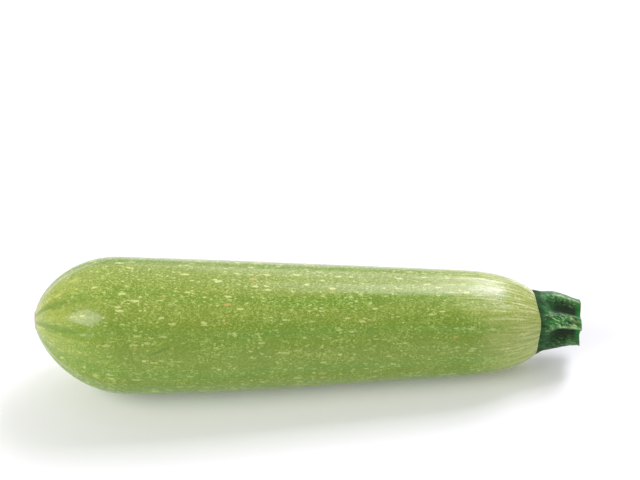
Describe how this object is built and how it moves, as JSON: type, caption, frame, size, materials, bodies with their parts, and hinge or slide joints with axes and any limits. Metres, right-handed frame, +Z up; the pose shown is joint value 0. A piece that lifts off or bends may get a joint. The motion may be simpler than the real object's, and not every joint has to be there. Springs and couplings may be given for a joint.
{
  "type": "zucchini",
  "caption": "Pale green speckled zucchini lying on its side, thickest near the blossom end, with a short ridged stem cut straight across.",
  "frame": {"origin": "on the surface that the fruit lies on, under the middle of its length and breadth", "axes": "+X from the blossom end to the stem, +Z up off the surface"},
  "size_m": [0.2002, 0.0499, 0.051],
  "materials": {
    "skin": "satin, waxy, finely speckled pale green skin",
    "stem": "satin, tough ridged dark green stalk"
  },
  "bodies": {
    "root": {"fruit": "skin", "stem": "stem"}
  },
  "joints": []
}
